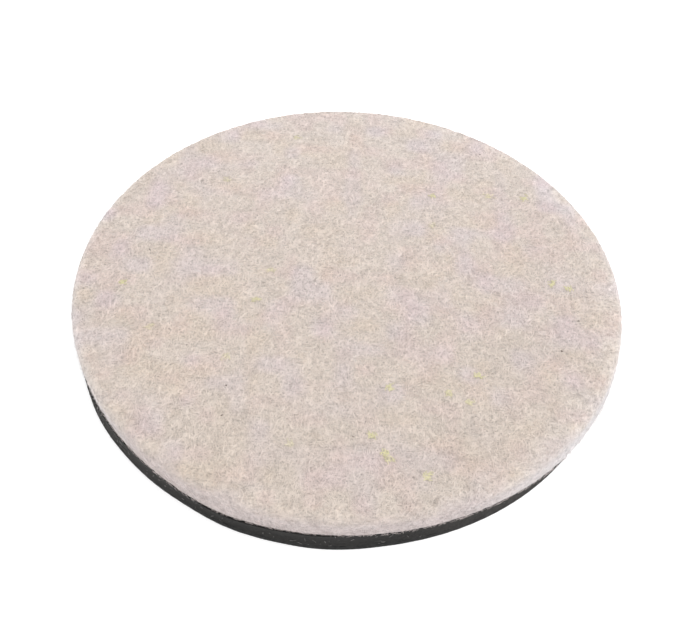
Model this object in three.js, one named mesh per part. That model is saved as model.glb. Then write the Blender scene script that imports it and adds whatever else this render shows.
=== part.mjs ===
// A round felt polishing disc: a pressed wool-felt working layer on a thin black foam cushion, with a
// loop cloth underneath that grips a hook-faced backing pad. Two adhesive films bond the three layers.
//
// Millimetres, +Z up. The origin is the centre of the loop cloth's underside, and +Z points to the
// felt's working face.
import * as THREE from 'three';

// Driving dimensions.
const DISC_DIAMETER = 100; // the layers are die-cut together, so they share it

const LOOP_THICKNESS = 1.2; // knitted ground and the loops that stand on its underside
const LOOP_EDGE_RADIUS = 0.35; // the pile rolls over at the cut edge
const LOOP_FILM_THICKNESS = 0.12;
const FOAM_THICKNESS = 3;
const FOAM_EDGE_HOLLOW = 0.2; // a die-cut foam edge springs back hollow by this much
const FELT_FILM_THICKNESS = 0.12;
const FELT_THICKNESS = 5;
const FELT_ARRIS_RADIUS = 0.6; // the soft top edge
const FILM_INSET = 0.4; // how far the films stop short of the layers' edges

// How finely the round shapes are divided.
const RIM_SEGMENTS = 120;
const ARRIS_STEPS = 5;
const HOLLOW_STEPS = 6;

const DISC_RADIUS = DISC_DIAMETER / 2;

// A profile is a list of [radius, height] points from the axis at the underside to the axis at the top.
function turned(profile) {
  const points = profile.map(([radius, height]) => new THREE.Vector2(radius, height));
  const geometry = new THREE.LatheGeometry(points, RIM_SEGMENTS);
  geometry.rotateX(Math.PI / 2); // the lathe turns about Y, and the disc's axis is Z
  return geometry;
}

// Points of a quarter circle about [radius, height], from one angle to the next, in radians.
function quarterArc(radius, height, arcRadius, startAngle) {
  const points = [];
  for (let step = 0; step <= ARRIS_STEPS; step += 1) {
    const angle = startAngle + (step / ARRIS_STEPS) * (Math.PI / 2);
    points.push([radius + arcRadius * Math.cos(angle), height + arcRadius * Math.sin(angle)]);
  }
  return points;
}

function feltGeometry() {
  const shoulder = FELT_THICKNESS - FELT_ARRIS_RADIUS;
  const arris = quarterArc(DISC_RADIUS - FELT_ARRIS_RADIUS, shoulder, FELT_ARRIS_RADIUS, 0);
  return turned([[0, 0], [DISC_RADIUS, 0], ...arris, [0, FELT_THICKNESS]]);
}

function foamGeometry() {
  const edge = [];
  for (let step = 0; step <= HOLLOW_STEPS; step += 1) {
    const share = step / HOLLOW_STEPS;
    const hollow = FOAM_EDGE_HOLLOW * Math.sin(Math.PI * share);
    edge.push([DISC_RADIUS - hollow, FOAM_THICKNESS * share]);
  }
  return turned([[0, 0], ...edge, [0, FOAM_THICKNESS]]);
}

function filmGeometry(thickness) {
  const radius = DISC_RADIUS - FILM_INSET;
  return turned([[0, 0], [radius, 0], [radius, thickness], [0, thickness]]);
}

function loopGeometry() {
  const rolled = quarterArc(DISC_RADIUS - LOOP_EDGE_RADIUS, LOOP_EDGE_RADIUS, LOOP_EDGE_RADIUS, -Math.PI / 2);
  return turned([[0, 0], ...rolled, [DISC_RADIUS, LOOP_THICKNESS], [0, LOOP_THICKNESS]]);
}

function material(color, roughness) {
  return new THREE.MeshStandardMaterial({ color, roughness, metalness: 0 });
}

const adhesive = () => material(0xb9b2a2, 0.35);

// From the underside up: name, thickness, geometry and material of each layer.
const layers = [
  ['loop_fabric', LOOP_THICKNESS, loopGeometry(), material(0x2c2c2b, 0.95)],
  ['loop_adhesive_film', LOOP_FILM_THICKNESS, filmGeometry(LOOP_FILM_THICKNESS), adhesive()],
  ['foam_cushion', FOAM_THICKNESS, foamGeometry(), material(0x363634, 0.85)],
  ['felt_adhesive_film', FELT_FILM_THICKNESS, filmGeometry(FELT_FILM_THICKNESS), adhesive()],
  ['felt_pad', FELT_THICKNESS, feltGeometry(), material(0xdccfc6, 1)],
];

const disc = new THREE.Group();
let underside = 0;
for (const [name, thickness, geometry, finish] of layers) {
  const layer = new THREE.Mesh(geometry, finish);
  layer.name = name;
  layer.position.z = underside;
  disc.add(layer);
  underside += thickness;
}

export default disc;
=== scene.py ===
import math

import bpy
import numpy as np
from mathutils import Matrix, Vector


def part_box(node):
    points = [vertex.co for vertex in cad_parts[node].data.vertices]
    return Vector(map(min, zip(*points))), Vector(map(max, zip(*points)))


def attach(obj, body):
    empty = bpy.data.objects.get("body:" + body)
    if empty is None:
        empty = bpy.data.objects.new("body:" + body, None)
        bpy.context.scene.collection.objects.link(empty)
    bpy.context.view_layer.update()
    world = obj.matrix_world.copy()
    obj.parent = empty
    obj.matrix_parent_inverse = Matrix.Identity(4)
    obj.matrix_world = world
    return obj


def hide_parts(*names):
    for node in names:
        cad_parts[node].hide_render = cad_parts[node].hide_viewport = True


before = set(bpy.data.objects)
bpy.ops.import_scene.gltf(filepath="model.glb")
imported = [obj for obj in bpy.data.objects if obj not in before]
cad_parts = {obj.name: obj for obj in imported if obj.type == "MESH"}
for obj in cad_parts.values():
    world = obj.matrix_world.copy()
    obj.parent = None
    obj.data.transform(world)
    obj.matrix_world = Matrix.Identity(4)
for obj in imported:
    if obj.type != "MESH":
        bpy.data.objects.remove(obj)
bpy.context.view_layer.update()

# A felt polishing disc: a pressed wool-felt pad on a black foam cushion, with a loop cloth underneath.
# Shapes are worked out in millimetres and written to the meshes in metres, in the row frame.
MM = 0.001


def heights(node):
    """A node's lowest and highest level, in millimetres."""
    low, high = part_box(node)
    return low[2] / MM, high[2] / MM


FELT_LOW, FELT_TOP = heights("felt_pad")
FOAM_LOW, FOAM_TOP = heights("foam_cushion")
LOOP_LOW, LOOP_TOP = heights("loop_fabric")
DISC_RADIUS = (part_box("felt_pad")[1][0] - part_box("felt_pad")[0][0]) / 2 / MM

# The felt's skin is laid out flat: the face, then the soft arris, then the rim's side.
ARRIS = 1.1  # radius of the felt's worn top edge
FACE_REACH = DISC_RADIUS - ARRIS
ARRIS_LENGTH = ARRIS * math.pi / 2
SKIN_REACH = FACE_REACH + ARRIS_LENGTH + (FELT_TOP - ARRIS - FELT_LOW)

# The backing was stuck on a little off the felt's centre.
BACKING_SHIFT = np.array([-0.35, -0.30, 0.0])
BACKING_RADIUS = DISC_RADIUS - 0.50
LIP = 0.10  # how far the foam's edge closes over each adhesive film
GROUND_LOW = LOOP_LOW + 0.62  # the knitted ground's underside; the loops stand below it
WALE_PITCH = 1.05  # from one rib of the knitted ground to the next

FELT_OVAL, BACKING_OVAL = 0.0022, -0.003  # how much wider than deep each outline came out
SLANT = 0.45  # how far the felt's cut side runs out toward +X on its way down, and in on the other side

# Where the glued joint under the felt dips and rises round the disc, where the backing's edge stands out
# or in, and where the felt's rim is painted paler, as painted light: a size for each place, and its middle
# and width in degrees.
JOINT_DIPS = ((0.90, 247, 9), (0.35, 260, 10), (0.25, 60, 30))
JOINT_RISES = ((0.75, 298, 26), (0.40, 212, 16), (0.20, 140, 25))
BACKING_BULGES = ((0.35, 268, 9), (0.28, 252, 9), (0.25, 213, 9), (-0.12, 241, 6), (-0.28, 284, 30))
RIM_PAINTED_LIGHT = ((0.035, 309, 14),)

# The matted wool's relief, and its lighter and darker clumps: a strength for each layer of noise, the
# size of its cells in millimetres and a seed.
CORE_RELIEF = ((0.012, 6.0, 21), (0.012, 1.9, 22), (0.016, 0.8, 23))
CLUMPS = ((0.082, 0.45, 37), (0.045, 0.85, 35), (0.021, 1.9, 36))

CREAM = np.array([0.757, 0.671, 0.604])
ROSE = np.array([0.763, 0.654, 0.600])
LILAC = np.array([0.750, 0.666, 0.640])
TAN = np.array([0.760, 0.664, 0.580])
RIM_GREY = np.array([0.651, 0.573, 0.553])
RIM_PALE = np.array([0.697, 0.652, 0.640])
STRAW = np.array([0.70, 0.655, 0.40])
UMBER = np.array([0.15, 0.115, 0.095])
# The face is painted a little darker and yellower on the near side and a little paler on the far side, as
# painted shade and light.
FACE_TONE = np.array([0.973, 0.969, 0.971])
FAR_PAINTED_LIGHT = np.array([-0.002, 0.008, 0.028])
NEAR_PAINTED_SHADE = np.array([0.101, 0.111, 0.128])
# How much paler the wool is painted along its right edge and on its left side, as painted light.
PAINTED_LIGHT_RIGHT = np.array([0.070, 0.100, 0.138])
PAINTED_LIGHT_LEFT = np.array([0.085, 0.110, 0.135])
# The colour of the painted sheen on the black backing's sides.
SIDE_SHEEN = (0.62, 0.56, 0.53, 1)
FLOOR_PAINTED_GLOW = 0.45  # the pale floor glows a little, as painted light that also lights the disc from below, so that no shadow shows

TUBE_SIDES = 3  # a fibre is a tube with this many sides
NOISE_CELLS = 256  # the smooth noise repeats after this many cells
TINY = 1e-9  # keeps a division by a length safe
MIX_A, MIX_B, MIX_RESULT = 6, 7, 2  # the colour sockets of Blender's Mix node


# ---------------------------------------------------------------- numbers and shapes

def value_noise(x, y, cell, seed):
    """Smooth noise from -1 to 1 over a plane, with one random value for each cell of that size."""
    table = np.random.default_rng(seed).uniform(-1, 1, (NOISE_CELLS, NOISE_CELLS))
    gx, gy = x / cell, y / cell
    ix, iy = np.floor(gx).astype(int), np.floor(gy).astype(int)
    fx, fy = gx - ix, gy - iy
    fx, fy = fx * fx * (3 - 2 * fx), fy * fy * (3 - 2 * fy)

    def at(i, j):
        return table[i % NOISE_CELLS, j % NOISE_CELLS]

    low = at(ix, iy) * (1 - fx) + at(ix + 1, iy) * fx
    high = at(ix, iy + 1) * (1 - fx) + at(ix + 1, iy + 1) * fx
    return low * (1 - fy) + high * fy


def layered_noise(x, y, layers):
    """A sum of smooth noises, each given as its strength, the size of its cells and a seed."""
    return sum(strength * value_noise(x, y, cell, seed) for strength, cell, seed in layers)


def swellings(turn, places):
    """A sum of smooth rises round the disc, each given as its size, its middle and its width in degrees."""
    total = 0
    for size, middle, width in places:
        away = np.degrees(np.angle(np.exp(1j * (turn - math.radians(middle)))))
        total = total + size * np.exp(-((away / width) ** 2))
    return total


def fade(value, start, width):
    """0 up to start and 1 from start + width on, with an even change between."""
    return np.clip((value - start) / width, 0, 1)


def polar(reach, turn):
    """Flat points, from how far out they are and where round the disc."""
    return np.stack([reach * np.cos(turn), reach * np.sin(turn)], -1)


def round_axis(radius, turn, level):
    """Points round the disc's axis."""
    return np.stack([radius * np.cos(turn), radius * np.sin(turn), level], -1)


def unit_length(vectors):
    """The vectors' directions."""
    return vectors / np.maximum(np.linalg.norm(vectors, axis=-1, keepdims=True), TINY)


def joint_sag(turn):
    """How far the glued joint between felt and foam wanders below its nominal level, round the disc."""
    return swellings(turn, JOINT_DIPS) - swellings(turn, JOINT_RISES)


def as_made(points, oval):
    """Gives points the disc's small unevenness: an outline not quite round and a varying thickness."""
    x, y, z = np.moveaxis(points, -1, 0)
    turn = np.arctan2(y, x)
    stretch = 1 + oval * np.cos(2 * turn) + 0.0012 * np.sin(3 * turn + 2.2)
    shift = 200  # keeps the whole disc on one side of the noise's origin
    swell = 0.05 * value_noise(x + shift, y + shift, 28, 11) * z / FELT_TOP
    return np.stack([x * stretch, y * stretch, z + swell], -1)


def felt_as_made(points):
    """The felt's unevenness: the disc's, a slanted side, and a lower edge that follows the joint."""
    x, y, z = np.moveaxis(points, -1, 0)
    share = np.clip((FELT_TOP - ARRIS - z) / (FELT_TOP - ARRIS - FELT_LOW), 0, 1)
    turn = np.arctan2(y, x)
    flare = 1 + (0.06 + SLANT * np.cos(turn) * np.abs(np.cos(turn))) / DISC_RADIUS * share
    moved = np.stack([x * flare, y * flare, z - joint_sag(turn) * share], -1)
    return as_made(moved, FELT_OVAL)


def backing_as_made(points):
    """The foam's and the cloth's unevenness: the disc's, and stuck on a little off the felt's centre."""
    turn = np.arctan2(points[..., 1], points[..., 0])
    pushed = 1 + swellings(turn, BACKING_BULGES) / DISC_RADIUS
    shifted = points * np.stack([pushed, pushed, np.ones_like(pushed)], -1) + BACKING_SHIFT
    return as_made(shifted, BACKING_OVAL)


def on_felt(x, y, lift):
    """Lays flat points on the felt's skin: straight over the face, round the arris and down the rim.

    lift is how far they stand out of the skin.
    """
    reach = np.maximum(np.hypot(x, y), TINY)
    past = reach - FACE_REACH
    turn = np.clip(past / ARRIS, 0, math.pi / 2)
    down = np.maximum(past - ARRIS_LENGTH, 0)
    radius = np.minimum(reach, FACE_REACH) + (ARRIS + lift) * np.sin(turn)
    z = FELT_TOP - ARRIS + (ARRIS + lift) * np.cos(turn) - down
    return np.stack([x / reach * radius, y / reach * radius, z], -1)


def felt_outward(x, y):
    """The felt skin's outward direction at flat points."""
    reach = np.maximum(np.hypot(x, y), TINY)
    turn = np.clip((reach - FACE_REACH) / ARRIS, 0, math.pi / 2)
    return np.stack([x / reach * np.sin(turn), y / reach * np.sin(turn), np.cos(turn)], -1)


def kept_on_skin(x, y, margin):
    """Pulls flat points in from past the end of the felt's skin."""
    pull = np.minimum(1, (SKIN_REACH - margin) / np.maximum(np.hypot(x, y), TINY))
    return x * pull, y * pull


def square_disc(cells):
    """A disc of radius 1 as a grid of cells by cells quads.

    Returns its points, its quads, its rim's indices turning left from +X, and the rim's directions.
    """
    steps = np.linspace(-1, 1, cells + 1)
    a, b = np.meshgrid(steps, steps, indexing="ij")
    wide = np.abs(a) > np.abs(b)
    safe_a, safe_b = np.where(a == 0, 1, a), np.where(b == 0, 1, b)
    radius = np.where(wide, a, b)
    angle = np.where(wide, math.pi / 4 * b / safe_a, math.pi / 2 - math.pi / 4 * a / safe_b)
    points = polar(radius, angle).reshape(-1, 2)
    index = np.arange((cells + 1) ** 2).reshape(cells + 1, cells + 1)
    quads = np.stack([index[:-1, :-1], index[1:, :-1], index[1:, 1:], index[:-1, 1:]], -1).reshape(-1, 4)
    half = cells // 2
    right, far, left, near = index[-1], index[:, -1], index[0], index[:, 0]
    rim = np.concatenate([right[half:-1], far[:0:-1], left[:0:-1], near[:-1], right[:half]])
    return points, quads, rim, unit_length(points[rim])


def rows_after(rim, first, count):
    """The rim's row of indices, and count more rows as long for points that start at first."""
    return np.concatenate([rim[None], first + np.arange(count * len(rim)).reshape(count, -1)])


def ring_quads(rows):
    """Quads between closed rows of indices. They face out where the rows turn left and each is lower."""
    after = np.roll(rows, -1, axis=-1)
    corners = [rows[..., :-1, :], rows[..., 1:, :], after[..., 1:, :], after[..., :-1, :]]
    return np.stack(corners, -1).reshape(-1, 4)


def fan(ring, centre, turned=False):
    """Triangles from a closed ring of indices to one centre point, facing down where turned."""
    after = np.roll(ring, -1)
    sides = (after, ring) if turned else (ring, after)
    return np.stack([*sides, np.full(len(ring), centre)], -1)


def closed_rings(rings, top, low):
    """A closed body from rings of points, (rows, around, 3), that go down from its top to its underside."""
    rows, around, _ = rings.shape
    count = rows * around
    index = np.arange(count).reshape(rows, around)
    points = np.concatenate([rings.reshape(-1, 3), [[0, 0, top], [0, 0, low]]])
    return points, [ring_quads(index), fan(index[0], count), fan(index[-1], count + 1, turned=True)]


def tubes(paths, widths, outward, flatness=1.0):
    """Closed tubes round many paths at once.

    paths is (count, steps, 3) and widths (count, steps). outward points away from the surface that they
    lie on, and flatness is how thick they are that way, as a share of their width.
    """
    count, steps, _ = paths.shape
    along = unit_length(np.gradient(paths, axis=1))
    side = unit_length(np.cross(along, outward))
    top = np.cross(side, along) * flatness
    angles = math.pi / 2 + 2 * math.pi * np.arange(TUBE_SIDES) / TUBE_SIDES
    spokes = np.cos(angles)[:, None] * side[:, :, None] + np.sin(angles)[:, None] * top[:, :, None]
    points = paths[:, :, None] + widths[:, :, None, None] / 2 * spokes
    index = np.arange(count * steps * TUBE_SIDES).reshape(count, steps, TUBE_SIDES)
    caps = np.concatenate([index[:, 0], index[:, -1, ::-1]])
    return points.reshape(-1, 3), [ring_quads(index), caps]


def flat_curves(rng, centres, heading, length, bend, steps):
    """Curved lines in a plane: each turns at bend, plus a change of bend along it.

    Returns x and y, (count, steps).
    """
    s = np.linspace(-0.5, 0.5, steps)
    along = s * length[:, None]
    change = rng.normal(0, 0.7, len(length))[:, None]
    direction = heading[:, None] + bend[:, None] * along + change * s**2
    step = (length / (steps - 1))[:, None]
    x = np.cumsum(np.cos(direction) * step, axis=1)
    y = np.cumsum(np.sin(direction) * step, axis=1)
    middle = steps // 2
    return centres[:, :1] + x - x[:, middle : middle + 1], centres[:, 1:] + y - y[:, middle : middle + 1]


# ---------------------------------------------------------------- pieces

def make_piece(name, points, faces, material, tint=None, smooth=True):
    """A mesh from points in millimetres and lists of faces, riding on the disc.

    tint is a colour for each point.
    """
    mesh = bpy.data.meshes.new(name)
    counts = np.concatenate([np.full(len(f), f.shape[1]) for f in faces])
    corners = np.concatenate([f.ravel() for f in faces]).astype(np.int32)
    mesh.vertices.add(len(points))
    mesh.vertices.foreach_set("co", (points * MM).astype(np.float32).ravel())
    mesh.loops.add(len(corners))
    mesh.loops.foreach_set("vertex_index", corners)
    mesh.polygons.add(len(counts))
    mesh.polygons.foreach_set("loop_start", (np.cumsum(counts) - counts).astype(np.int32))
    mesh.update(calc_edges=True)
    if smooth:
        mesh.shade_smooth()
    else:
        mesh.shade_flat()
    if tint is not None:
        colours = np.concatenate([tint, np.ones((len(tint), 1))], 1).astype(np.float32)
        mesh.attributes.new("tint", "FLOAT_COLOR", "POINT").data.foreach_set("color", colours.ravel())
    mesh.materials.append(material)
    piece = bpy.data.objects.new(name, mesh)
    bpy.context.scene.collection.objects.link(piece)
    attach(piece, "root")
    return piece


# ---------------------------------------------------------------- shader nodes

def add(tree, kind, inputs=None, **settings):
    """Adds a shader node. An input is a number, a colour or another node's output socket."""
    node = tree.nodes.new(kind)
    for key, value in settings.items():
        setattr(node, key, value)
    for key, value in (inputs or {}).items():
        if isinstance(value, bpy.types.NodeSocket):
            tree.links.new(value, node.inputs[key])
        else:
            node.inputs[key].default_value = value
    return node


def new_material(name, shader_values):
    """A material with one Principled shader, whose sockets take the given values."""
    material = bpy.data.materials.new(name)
    material.use_nodes = True
    tree = material.node_tree
    tree.nodes.clear()
    principled = add(tree, "ShaderNodeBsdfPrincipled", shader_values)
    add(tree, "ShaderNodeOutputMaterial", {"Surface": principled.outputs["BSDF"]})
    return material, tree, principled


def place(tree, size_mm, turn=0.0, stretch=(1, 1, 1)):
    """Coordinates in which a pattern with cells of 1 has cells of size_mm."""
    source = add(tree, "ShaderNodeTexCoord").outputs["Object"]
    scale = [s / (size_mm * MM) for s in stretch]
    mapping = add(tree, "ShaderNodeMapping", {"Vector": source, "Rotation": (0, 0, turn), "Scale": scale})
    return mapping.outputs["Vector"]


def noise(tree, size_mm, detail=2.0, turn=0.0, stretch=(1, 1, 1), roughness=0.5):
    """Noise from 0 to 1."""
    inputs = {
        "Vector": place(tree, size_mm, turn, stretch),
        "Scale": 1.0,
        "Detail": detail,
        "Roughness": roughness,
    }
    return add(tree, "ShaderNodeTexNoise", inputs).outputs["Fac"]


def ramp(tree, factor, stops):
    """A colour ramp. stops are (position, colour or grey)."""
    node = add(tree, "ShaderNodeValToRGB", {"Fac": factor})
    elements = node.color_ramp.elements
    while len(elements) < len(stops):
        elements.new(0.5)
    for element, (position, colour) in zip(elements, stops):
        element.position = position
        element.color = (*colour, 1) if hasattr(colour, "__len__") else (colour, colour, colour, 1)
    return node.outputs["Color"]


def maths(tree, operation, a, b):
    """The result of one Math node."""
    return add(tree, "ShaderNodeMath", {0: a, 1: b}, operation=operation).outputs[0]


def mix(tree, a, b, factor, blend_type="MIX"):
    """Two colours mixed."""
    inputs = {"Factor": factor, MIX_A: a, MIX_B: b}
    return add(tree, "ShaderNodeMix", inputs, data_type="RGBA", blend_type=blend_type).outputs[MIX_RESULT]


def multiply(tree, a, b):
    """The product of two colours."""
    return mix(tree, a, b, 1.0, "MULTIPLY")


def tinted(tree):
    """The colour that a piece's points carry."""
    return add(tree, "ShaderNodeAttribute", attribute_name="tint").outputs["Color"]


def raise_surface(tree, shader, height, strength, distance):
    """Shades the surface as if it stood higher where height is brighter. distance is in metres."""
    bump = add(tree, "ShaderNodeBump", {"Height": height, "Strength": strength, "Distance": distance})
    tree.links.new(bump.outputs["Normal"], shader.inputs["Normal"])


# ---------------------------------------------------------------- materials

def fibre_pattern(tree):
    """Fine crossed streaks, as matted fibres show.

    It is the brightest of several stretched noises, each turned its own way.
    """
    strongest = None
    for turn in (0.2, 0.85, 1.5, 2.2, 2.8):
        streak = noise(tree, 0.35, detail=1.0, turn=turn, stretch=(0.16, 1.6, 1.0))
        strongest = streak if strongest is None else maths(tree, "MAXIMUM", strongest, streak)
    return strongest


def specks(tree):
    """White, with small sparse darker specks, as where dirt and shadow sit between the fibres."""
    return ramp(tree, noise(tree, 0.42, detail=1.0), [(0.30, 0.78), (0.42, 1.0)])


def felt_core_material():
    """The matted wool under the loose fibres: their colour, streaked and speckled."""
    sheen = {"Sheen Weight": 0.15, "Sheen Roughness": 0.6}
    material, tree, shader = new_material("felt_core", {"Roughness": 0.95, **sheen})
    streaks = fibre_pattern(tree)
    shade = multiply(tree, specks(tree), ramp(tree, streaks, [(0.52, 0.74), (0.72, 0.98)]))
    tree.links.new(multiply(tree, tinted(tree), shade), shader.inputs["Base Color"])
    tree.links.new(ramp(tree, streaks, [(0.4, 1.0), (0.8, 0.86)]), shader.inputs["Roughness"])
    raise_surface(tree, shader, streaks, 0.6, 0.00012)
    return material


def felt_fibre_material():
    """The loose wool fibres, which carry their own colour."""
    sheen = {"Sheen Weight": 0.2, "Sheen Roughness": 0.5}
    material, tree, shader = new_material("felt_fibre", {"Roughness": 0.9, **sheen})
    scales = ramp(tree, noise(tree, 0.5, detail=2.0), [(0.3, 0.93), (0.7, 1.04)])
    colour = multiply(tree, tinted(tree), multiply(tree, scales, specks(tree)))
    tree.links.new(colour, shader.inputs["Base Color"])
    return material


def side_sheened(tree, colour):
    """Adds a patchy grey-brown painted sheen to a black surface, more of it toward the sides than at the
    front.
    """
    position = add(tree, "ShaderNodeTexCoord").outputs["Object"]
    across = add(tree, "ShaderNodeSeparateXYZ", {"Vector": position}).outputs["X"]
    span = {"Value": across, "From Min": -DISC_RADIUS * MM, "From Max": DISC_RADIUS * MM}
    place_across = add(tree, "ShaderNodeMapRange", span).outputs["Result"]
    amount = ramp(tree, place_across, [(0.05, 0.5), (0.35, 0.0), (0.60, 0.0), (0.88, 1.2)])
    patchy = ramp(tree, noise(tree, 0.9, detail=5.0, roughness=0.7), [(0.35, 0.35), (0.7, 1.0)])
    share = maths(tree, "MULTIPLY", multiply(tree, amount, patchy), 0.055)
    return mix(tree, colour, SIDE_SHEEN, share)


def foam_material():
    """Black closed-cell foam, mottled and finely pitted, with a painted sheen toward its sides."""
    material, tree, shader = new_material("foam", {"Roughness": 0.9, "Specular IOR Level": 0.3})
    mottle = noise(tree, 0.8, detail=4.0, roughness=0.6)
    voronoi = add(tree, "ShaderNodeTexVoronoi", {"Vector": place(tree, 0.16), "Scale": 1.0})
    cells = voronoi.outputs["Distance"]
    colour = ramp(tree, mottle, [(0.3, (0.0107, 0.0102, 0.0096)), (0.7, (0.0262, 0.0247, 0.0232))])
    shade = ramp(tree, cells, [(0.1, 0.55), (0.6, 1.1)])
    tree.links.new(side_sheened(tree, multiply(tree, colour, shade)), shader.inputs["Base Color"])
    tree.links.new(ramp(tree, mottle, [(0.3, 0.78), (0.7, 0.95)]), shader.inputs["Roughness"])
    raise_surface(tree, shader, cells, 0.5, 0.00006)
    return material


def loop_material(name, dark, light):
    """Black nylon, mottled between two colours, with a painted sheen toward its sides."""
    material, tree, shader = new_material(name, {"Roughness": 0.9, "Specular IOR Level": 0.25})
    colour = ramp(tree, noise(tree, 0.7, detail=4.0), [(0.3, dark), (0.7, light)])
    tree.links.new(side_sheened(tree, colour), shader.inputs["Base Color"])
    tree.links.new(ramp(tree, noise(tree, 0.4), [(0.3, 0.75), (0.7, 0.95)]), shader.inputs["Roughness"])
    return material


def film_material():
    """Yellowish adhesive, unevenly spread."""
    material, tree, shader = new_material("adhesive", {"Roughness": 0.4})
    mottle = noise(tree, 2.5, detail=4.0)
    colour = ramp(tree, mottle, [(0.3, (0.42, 0.39, 0.30)), (0.7, (0.52, 0.49, 0.40))])
    tree.links.new(colour, shader.inputs["Base Color"])
    tree.links.new(ramp(tree, noise(tree, 0.6), [(0.3, 0.3), (0.7, 0.55)]), shader.inputs["Roughness"])
    return material


# ---------------------------------------------------------------- the felt pad

def rim_share(x, y):
    """0 over the face and 1 low on the rim, with an even change across the arris."""
    return fade(np.hypot(x, y) - FACE_REACH, 0.1, ARRIS_LENGTH + 1.4)


def felt_colour(x, y):
    """The wool's colour: cream with faint patches over the face and greyer on the rim, with painted light
    and shade over both.
    """
    colour = CREAM
    for patch, cell, seed in ((ROSE, 3.6, 31), (LILAC, 4.3, 32), (TAN, 3.9, 34)):
        share = np.clip(value_noise(x, y, cell, seed) * 1.4, 0, 1)[:, None]
        colour = colour + (patch - CREAM) * share
    # Painted shade toward the near side of the face and painted light toward its far side.
    along = (y / DISC_RADIUS)[:, None]
    colour = colour * (FACE_TONE + along * np.where(along > 0, FAR_PAINTED_LIGHT, NEAR_PAINTED_SHADE))

    past, turn = np.hypot(x, y) - FACE_REACH, np.arctan2(y, x)
    # Painted light: the rim is paler toward its right and its left side.
    to_right, to_left = fade(np.cos(turn), 0.35, 0.4), fade(-np.cos(turn), 0.62, 0.25)
    rim = RIM_GREY + (RIM_PALE - RIM_GREY) * (to_right + to_left)[:, None]
    colour = colour + (rim - colour) * rim_share(x, y)[:, None]

    # Painted shade darkens the rim toward its bottom, over the black backing.
    low = -0.06 * np.clip(past / (SKIN_REACH - FACE_REACH), 0, 1) ** 3
    # Painted light makes the rim paler on its right front.
    low = low + swellings(turn, RIM_PAINTED_LIGHT) * rim_share(x, y)
    # A painted highlight along the arris, weaker on the left.
    teased = 0.052 * np.exp(-(((past + 0.4) / 0.9) ** 2)) * (1 - 0.6 * to_left)
    clumps = layered_noise(x, y, CLUMPS)

    # Painted light along the face's right edge and round the arris on the left side.
    painted_right_share = fade(past, -4.5, 3.7) * (1 - 0.3 * fade(past, 0.2, 1.2))
    painted_right_share *= (0.5 + 0.5 * np.cos(turn)) ** 2
    painted_left_share = fade(past, -0.9, 1.4) * fade(-np.cos(turn), 0.6, 0.3)
    painted_light = painted_right_share[:, None] * PAINTED_LIGHT_RIGHT + painted_left_share[:, None] * PAINTED_LIGHT_LEFT
    return colour * (1 + low + teased + clumps)[:, None] * (1 + painted_light)


def felt_tint(rng, x, y):
    """A colour for each point of the fibres' tubes. Each fibre differs a little from the wool round it."""
    own = np.repeat(1 + rng.normal(0, 0.016, len(x)), x.shape[1])
    return np.repeat(felt_colour(x.ravel(), y.ravel()) * own[:, None], TUBE_SIDES, axis=0)


def felt_pits(x, y):
    """How far the matted surface sinks in small pits."""
    fine = np.clip(value_noise(x, y, 0.62, 38) - 0.1, 0, 1)
    wide = np.clip(value_noise(x, y, 1.1, 39), 0, 1)
    return 0.07 * fine + 0.05 * wide


def felt_core():
    """The pad's closed body.

    A fine grid covers the face, rings go round the arris and down the rim, and the underside is flat.
    """
    cells, rim_rows = 240, 37
    grid_reach = FACE_REACH - 2.2
    unit, quads, rim, spokes = square_disc(cells)
    reaches = np.linspace(grid_reach, SKIN_REACH - 0.02, rim_rows + 1)[1:]
    x, y = np.concatenate([unit * grid_reach, (reaches[:, None, None] * spokes).reshape(-1, 2)]).T
    side = fade(np.hypot(x, y), FACE_REACH, ARRIS_LENGTH)
    # The core lies under the fibres, less deep on the near and far sides and on the rim.
    sink = (0.20 - 0.055 * np.abs(y) / DISC_RADIUS) * (1 - side) + 0.11 * side
    lift = layered_noise(x, y, CORE_RELIEF) * (1 - 0.55 * side) - sink - felt_pits(x, y)
    under = np.column_stack([spokes * (DISC_RADIUS - 0.3), np.full(len(rim), FELT_LOW)])
    points = np.concatenate([on_felt(x, y, lift), under, [[0, 0, FELT_LOW]]])
    rows = rows_after(rim, len(unit), rim_rows + 1)
    faces = [quads, ring_quads(rows), fan(rows[-1], len(points) - 1, turned=True)]
    tint = np.concatenate([felt_colour(x, y), np.tile(RIM_GREY, (len(rim) + 1, 1))])
    piece = make_piece("felt_core", felt_as_made(points), faces, felt_core_material(), tint)
    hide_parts("felt_pad")


def laid_on_felt(rng, centres, heading, length, width, depth, dip, tilt, steps=7):
    """Tubes for fibres that lie on the felt's skin, and their flat x and y.

    Each fibre sinks by depth, dips at its ends and tilts along its length.
    """
    bend = rng.normal(0, 0.34, len(centres))
    x, y = kept_on_skin(*flat_curves(rng, centres, heading, length, bend, steps), 0.03)
    s = np.linspace(-1, 1, steps)
    lift = -depth[:, None] - dip[:, None] * s**4 + tilt[:, None] * s - felt_pits(x, y)
    paths = felt_as_made(on_felt(x, y, lift))
    widths = width[:, None] * (1 - 0.45 * s**4)
    points, faces = tubes(paths, widths, felt_outward(x, y), flatness=0.36)
    return points, faces, x, y


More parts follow.
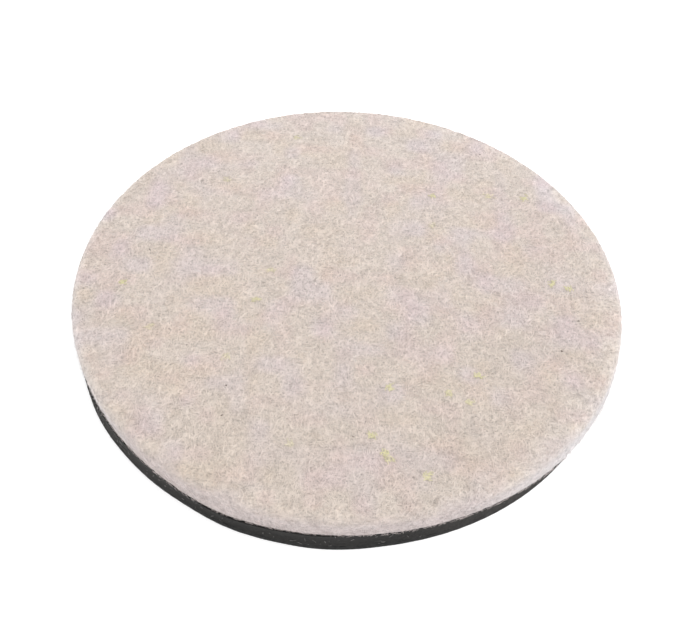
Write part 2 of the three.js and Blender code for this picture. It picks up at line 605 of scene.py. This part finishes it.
def felt_fibres(material):
    """Thousands of short curled wool fibres, matted over the face, the arris and the rim."""
    groups, count, steps = 10, 7650, 5
    rng = np.random.default_rng(41)
    for group in range(groups):
        reach = SKIN_REACH * np.sqrt(rng.random(2 * count)) * 0.998
        centres = polar(reach, rng.uniform(0, 2 * math.pi, 2 * count))
        matted = 0.72 + 0.45 * value_noise(*centres.T, 0.9, 33)
        centres = centres[np.flatnonzero(rng.random(2 * count) < matted)[:count]]
        side = rim_share(*centres.T)
        # The wool was carded more along Y than along X.
        carded = rng.normal(math.pi / 2, 0.55, count) + 0.3 * value_noise(*centres.T, 25, 42)
        share = 0.2 - 0.15 * centres[:, 1] / DISC_RADIUS
        heading = np.where(rng.random(count) < share, carded, rng.uniform(0, 2 * math.pi, count))
        length = np.clip(rng.lognormal(math.log(1.40), 0.35, count), 0.7, 4.0)
        width = rng.uniform(0.11, 0.19, count) * (1 - 0.2 * side)
        # Handling pressed the near and far sides flatter.
        loose = (0.83 - 0.28 * np.abs(centres[:, 1]) / DISC_RADIUS) * (1 - 0.2 * side)
        depth = rng.uniform(0.0, 0.12, count) * loose
        dip = rng.uniform(0.03, 0.11, count) * loose
        tilt = rng.normal(0, 0.026, count) * loose
        depth = depth + width / 3
        points, faces, x, y = laid_on_felt(rng, centres, heading, length, width, depth, dip, tilt, steps)
        tint = felt_tint(rng, x, y)
        make_piece(f"felt_fibres_{group + 1}", points, faces, material, tint, smooth=False)


def coloured_flecks(name, material, colour, seed, count, fibres, spread, length):
    """Small tufts of dyed fibre that got carded into the wool, more of them on the near half."""
    rng = np.random.default_rng(seed)
    tries, inner = 40 * count, 0.93
    spots = rng.uniform(-1, 1, (tries, 2)) * FACE_REACH * inner
    nearer = rng.random(tries) > 0.55 + 0.45 * spots[:, 1] / FACE_REACH
    spots = spots[(np.hypot(*spots.T) < FACE_REACH * inner) & nearer][:count]
    total = count * fibres
    centres = np.repeat(spots, fibres, axis=0) + rng.normal(0, spread, (total, 2))
    heading = np.repeat(rng.uniform(0, math.pi, count), fibres) + rng.normal(0, 0.7, total)
    lengths = length * rng.uniform(0.6, 1.3, total)
    width = rng.uniform(0.13, 0.20, total)
    depth = rng.uniform(-0.02, 0.04, total)
    dip, tilt = np.full(total, 0.08), np.zeros(total)
    points, faces, _, _ = laid_on_felt(rng, centres, heading, lengths, width, depth, dip, tilt)
    wool = felt_colour(*centres.T)
    strength = np.repeat(rng.uniform(0.35, 1.0, count), fibres)[:, None]
    dyed = (wool + (colour - wool) * strength) * rng.uniform(0.9, 1.08, (total, 1))
    tint = np.repeat(dyed, len(points) // total, axis=0)
    make_piece(name, points, faces, material, tint, smooth=False)


def joint_fuzz(material):
    """Loose ends of wool that hang from the felt's lower edge over the black backing."""
    rng = np.random.default_rng(45)
    count, steps = 900, 6
    turn = rng.uniform(0, 2 * math.pi, count)
    s = np.linspace(0, 1, steps)
    along = rng.normal(0, 0.5, count)[:, None] * s + rng.normal(0, 0.25, count)[:, None] * s**2
    fall = rng.uniform(0.2, 0.6, count)[:, None] * s
    z = FELT_LOW + rng.uniform(0.0, 0.4, count)[:, None] - fall
    radius = DISC_RADIUS + 0.02 + 0.05 * np.sin(math.pi * s) * rng.random(count)[:, None]
    angle = turn[:, None] + along / DISC_RADIUS
    widths = rng.uniform(0.04, 0.08, count)[:, None] * (1 - 0.6 * s)
    paths = felt_as_made(round_axis(radius, angle, z))
    points, faces = tubes(paths, widths, round_axis(1, angle, 0 * angle))
    tint = np.repeat(RIM_GREY * rng.uniform(0.85, 1.08, (count, 1)), steps * TUBE_SIDES, axis=0)
    make_piece("felt_joint_fuzz", points, faces, material, tint)


def nap(material):
    """Loose wool ends that stand off the skin, most of them round the arris, where handling teased them."""
    rng = np.random.default_rng(47)
    count, steps = 7400, 5
    teased = rng.random(count) < 0.8
    round_arris = rng.uniform(FACE_REACH - 1.5, SKIN_REACH - 0.6, count)
    over_face = FACE_REACH * np.sqrt(rng.random(count))
    centres = polar(np.where(teased, round_arris, over_face), rng.uniform(0, 2 * math.pi, count))
    heading = rng.uniform(0, 2 * math.pi, count)
    length = rng.uniform(0.4, 1.3, count)
    bend = rng.normal(0, 0.9, count)
    x, y = kept_on_skin(*flat_curves(rng, centres, heading, length, bend, steps), 0.05)
    s = np.linspace(0, 1, steps)
    rise = rng.gamma(2.0, 0.12, count)
    lift = -0.06 + (0.06 + np.minimum(rise, 0.55))[:, None] * s**1.5
    widths = rng.uniform(0.03, 0.055, count)[:, None] * (1 - 0.6 * s)
    points, faces = tubes(felt_as_made(on_felt(x, y, lift)), widths, felt_outward(x, y))
    make_piece("felt_nap", points, faces, material, felt_tint(rng, x, y))


def lint(material):
    """Odd pale fibres caught on the black edge."""
    rng = np.random.default_rng(46)
    count, steps = 240, 6
    turn = rng.uniform(0, 2 * math.pi, count)
    s = np.linspace(-0.5, 0.5, steps)
    length = np.minimum(rng.gamma(2.0, 0.3, count), 1.5)[:, None]
    slope = rng.normal(0, 0.9, count)[:, None]
    angle = turn[:, None] + length * np.cos(slope) * s / DISC_RADIUS
    z = rng.normal(0.55, 0.17, count)[:, None] * FOAM_TOP + length * np.sin(slope) * s
    z = np.clip(z + 0.15 * rng.normal(0, 1, count)[:, None] * s**2, 0.15, FELT_LOW + 0.3)
    widths = np.broadcast_to(rng.uniform(0.05, 0.09, count)[:, None], (count, steps))
    paths = backing_as_made(round_axis(BACKING_RADIUS, angle, z))
    points, faces = tubes(paths, widths, round_axis(1, angle, 0 * angle))
    tint = np.repeat(RIM_PALE * rng.uniform(0.10, 0.42, (count, 1)), steps * TUBE_SIDES, axis=0)
    make_piece("felt_lint", points, faces, material, tint)


# ---------------------------------------------------------------- the foam cushion

def pits(along, up, length, cell, seed):
    """How deep cut foam cells are on a strip that closes on itself after length.

    It is 0 on the walls between cells and 1 at a cell's middle.
    """
    columns, rows = round(length / cell), 64
    rng = np.random.default_rng(seed)
    jitter = rng.uniform(0.1, 0.9, (columns, rows, 2))
    size = rng.uniform(0.4, 0.95, (columns, rows))
    gx, gy = along / length * columns, up / cell
    ix, iy = np.floor(gx).astype(int), np.floor(gy).astype(int)
    deepest = np.zeros(np.shape(gx))
    for di in (-1, 0, 1):
        for dj in (-1, 0, 1):
            i, j = (ix + di) % columns, (iy + dj) % rows
            away = np.hypot(gx - ix - di - jitter[i, j, 0], gy - iy - dj - jitter[i, j, 1]) / size[i, j]
            deepest = np.maximum(deepest, 1 - away**2)
    return np.clip(deepest, 0, 1)


def foam_cushion():
    """A die-cut foam disc: its edge springs back a little hollow and shows cut cells."""
    around, rows, hollow, tuck = 1900, 22, 0.16, 0.38
    turn = np.linspace(0, 2 * math.pi, around, endpoint=False)
    t, s = np.meshgrid(turn, np.linspace(0, 1, rows))
    arc = t * DISC_RADIUS
    up = s * (FOAM_TOP - FOAM_LOW + 2 * LIP - joint_sag(t)) - LIP
    depth = 0.07 * pits(arc, up, 2 * math.pi * DISC_RADIUS, 0.42, 51)
    depth += 0.03 * (1 + value_noise(arc, up, 2.3, 52))
    radius = BACKING_RADIUS + 0.05 - hollow * np.sin(math.pi * s) - depth
    # The soft edges close over the thin adhesive films above and below.
    radius = np.vstack([radius[:1] - tuck, radius, radius[-1:] - tuck])
    level = np.vstack([np.zeros((1, around)), up, up[-1:] - LIP]) + FOAM_LOW
    points, faces = closed_rings(round_axis(radius, turn, level)[::-1], FOAM_TOP, FOAM_LOW)
    piece = make_piece("foam_cushion_body", backing_as_made(points), faces, foam_material())
    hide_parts("foam_cushion")


# ---------------------------------------------------------------- the loop cloth

def loop_ground():
    """The knitted ground of the loop cloth, ribbed in wales along X on its underside."""
    cells, wall_rows, edge_low = 270, 5, 0.12
    unit, quads, rim, spokes = square_disc(cells)
    around = len(rim)
    x, y = (unit * BACKING_RADIUS).T
    wales = np.cos(2 * math.pi * y / WALE_PITCH)
    stitches = np.cos(2 * math.pi * (x / 0.8 + 0.5 * np.floor(y / WALE_PITCH)))
    relief = 0.07 * wales + 0.03 * stitches + 0.03 * value_noise(x, y, 1.3, 61)
    # The die crushed the cloth's edge down.
    crushed = fade(np.hypot(x, y) - BACKING_RADIUS, -0.9, 0.7) ** 2
    low = GROUND_LOW - relief * (1 - 0.6 * crushed) - (GROUND_LOW - LOOP_LOW - edge_low) * crushed
    under = np.stack([x, y, low], -1)
    wander = 0.05 * value_noise(np.arange(around) * 0.31, np.zeros(around), 1.0, 62)
    outline = spokes * (BACKING_RADIUS + wander)[:, None]
    levels = np.linspace(LOOP_LOW + edge_low, LOOP_TOP, wall_rows + 1)[1:]
    edge = [np.column_stack([outline, np.full(around, level)]) for level in levels]
    points = np.concatenate([under, *edge, [[0, 0, LOOP_TOP]]])
    rows = rows_after(rim, len(under), wall_rows)
    # These rows go up from the underside, so the quads between them are turned about.
    walls = ring_quads(rows)[:, [0, 3, 2, 1]]
    faces = [quads[:, ::-1], walls, fan(rows[-1], len(points) - 1)]
    material = loop_material("loop_ground", (0.009, 0.009, 0.009), (0.022, 0.0215, 0.021))
    piece = make_piece("loop_cloth_ground", backing_as_made(points), faces, material)
    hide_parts("loop_fabric")
    return piece


def loop_tubes(rng, spots, steps=10):
    """Tubes for loops of yarn that hang from the ground at flat spots, brushed every way."""
    count = len(spots)
    heading = rng.normal(0, 0.7, count) + math.pi * rng.integers(0, 2, count)
    span = rng.uniform(0.45, 0.85, count)
    drop = rng.uniform(0.5, 0.9, count) * (GROUND_LOW - LOOP_LOW)
    lean = rng.normal(0, 0.28, count)
    s = np.linspace(0, math.pi, steps)
    out = -np.cos(s) * span[:, None] / 2 * (1 + 0.35 * np.sin(s))
    across = lean[:, None] * np.sin(s)
    x = spots[:, :1] + out * np.cos(heading)[:, None] - across * np.sin(heading)[:, None]
    y = spots[:, 1:] + out * np.sin(heading)[:, None] + across * np.cos(heading)[:, None]
    z = GROUND_LOW + 0.08 - (drop[:, None] + 0.08) * np.sin(s) ** 0.8
    paths = np.stack([x, y, np.maximum(z, LOOP_LOW + 0.05)], -1)
    widths = np.broadcast_to(rng.uniform(0.05, 0.085, count)[:, None], (count, steps))
    outward = np.stack([-np.sin(heading), np.cos(heading), np.zeros(count)], -1)[:, None]
    return tubes(paths, widths, np.broadcast_to(outward, paths.shape))


def loop_pile():
    """Nylon loops that stand on the underside of the ground, in rows along X."""
    material = loop_material("loop_pile", (0.016, 0.016, 0.016), (0.040, 0.039, 0.038))
    rng = np.random.default_rng(71)
    loop_pitch, groups = 0.62, 4
    rows = np.arange(-DISC_RADIUS, DISC_RADIUS, WALE_PITCH)
    columns = np.arange(-DISC_RADIUS, DISC_RADIUS, loop_pitch)
    spots = np.array([(x, y) for y in rows for x in columns])
    spots += rng.normal(0, 0.16, spots.shape)
    spots = spots[np.hypot(*spots.T) < BACKING_RADIUS - 0.35]
    rng.shuffle(spots)
    pieces = []
    for group, part in enumerate(np.array_split(spots, groups)):
        points, faces = loop_tubes(rng, part)
        name = f"loop_cloth_pile_{group + 1}"
        pieces.append(make_piece(name, backing_as_made(points), faces, material))
    return pieces


# ---------------------------------------------------------------- the adhesive films

def adhesive_film(name, material, node, sag):
    """A closed, thin disc of adhesive that sags with its joint.

    It stops a little short of the backing's edge, and its own edge is ragged, with its corners taken off.
    """
    low, top = heights(node)
    around, reach, chamfer = 720, BACKING_RADIUS - 0.55, 0.03
    turn = np.linspace(0, 2 * math.pi, around, endpoint=False)
    ragged = reach + 0.06 * value_noise(turn * reach, 0 * turn, 1.4, 81)
    inner = 1 - 0.4 / reach
    corners = [(inner, top), (1.0, top - chamfer), (1.0, low + chamfer), (inner, low)]
    rings = np.stack([round_axis(share * ragged, turn, level - sag(turn)) for share, level in corners])
    points, faces = closed_rings(rings, top, low)
    piece = make_piece(name, backing_as_made(points), faces, material)
    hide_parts(node)


# ---------------------------------------------------------------- camera, light and floor

def set_camera():
    """Looks down at 47 degrees from three and a third radii away, turned a little about its own axis."""
    elevation, distance, roll = math.radians(47.0), 3.328 * DISC_RADIUS, math.radians(2.63)
    eye = Vector((0, -distance * math.cos(elevation), FELT_TOP + distance * math.sin(elevation)))
    aim = Vector((-0.76, -9.8, FELT_TOP))
    data = bpy.data.cameras.new("camera")
    data.sensor_width = 36
    data.lens = 47.4
    data.clip_start, data.clip_end = 0.01, 50
    camera = bpy.data.objects.new("camera", data)
    level = (aim - eye).to_track_quat("-Z", "Y").to_matrix().to_4x4()
    camera.matrix_world = Matrix.Translation(eye * MM) @ level @ Matrix.Rotation(roll, 4, "Z")
    bpy.context.scene.collection.objects.link(camera)
    bpy.context.scene.camera = camera


def area_light(name, place_m, size, power):
    """A round lamp at a place in metres, aimed at the disc."""
    data = bpy.data.lights.new(name, "AREA")
    data.shape, data.size, data.energy = "DISK", size, power
    light = bpy.data.objects.new(name, data)
    aim = (-Vector(place_m)).to_track_quat("-Z", "Y").to_matrix().to_4x4()
    light.matrix_world = Matrix.Translation(place_m) @ aim
    bpy.context.scene.collection.objects.link(light)


def set_light():
    """Soft, bright studio light: white all round, and one large lamp high on the right."""
    world = bpy.data.worlds.new("studio")
    world.use_nodes = True
    background = world.node_tree.nodes["Background"]
    background.inputs["Color"].default_value = (1, 1, 1, 1)
    background.inputs["Strength"].default_value = 1.03
    bpy.context.scene.world = world
    area_light("key", (0.70, 0.05, 0.70), 0.6, 3.2)
    bpy.context.scene.view_settings.view_transform = "Standard"


def floor():
    """A wide sheet of nearly white paper under the disc, glowing a little as painted light."""
    data = bpy.data.meshes.new("floor")
    size = 3.0
    corners = [(-size, -size, 0), (size, -size, 0), (size, size, 0), (-size, size, 0)]
    data.from_pydata(corners, [], [(0, 1, 2, 3)])
    painted_glow = {"Emission Color": (1, 1, 1, 1), "Emission Strength": FLOOR_PAINTED_GLOW}
    material, tree, shader = new_material("floor", {"Roughness": 0.7, "Specular IOR Level": 0.2, **painted_glow})
    paper = ramp(tree, noise(tree, 30, detail=2.0), [(0.3, 0.90), (0.7, 0.93)])
    tree.links.new(paper, shader.inputs["Base Color"])
    data.materials.append(material)
    piece = bpy.data.objects.new("floor", data)
    bpy.context.scene.collection.objects.link(piece)


set_camera()
set_light()
floor()
felt_core()
wool = felt_fibre_material()
felt_fibres(wool)
coloured_flecks("felt_flecks_straw", wool, STRAW, seed=43, count=22, fibres=20, spread=0.36, length=0.8)
coloured_flecks("felt_flecks_umber", wool, UMBER, seed=44, count=10, fibres=3, spread=0.06, length=0.35)
joint_fuzz(wool)
nap(wool)
foam_cushion()
lint(wool)
ground = loop_ground()
pile = loop_pile()
adhesive = film_material()
adhesive_film("felt_adhesive_layer", adhesive, "felt_adhesive_film", joint_sag)
adhesive_film("loop_adhesive_layer", adhesive, "loop_adhesive_film", np.zeros_like)
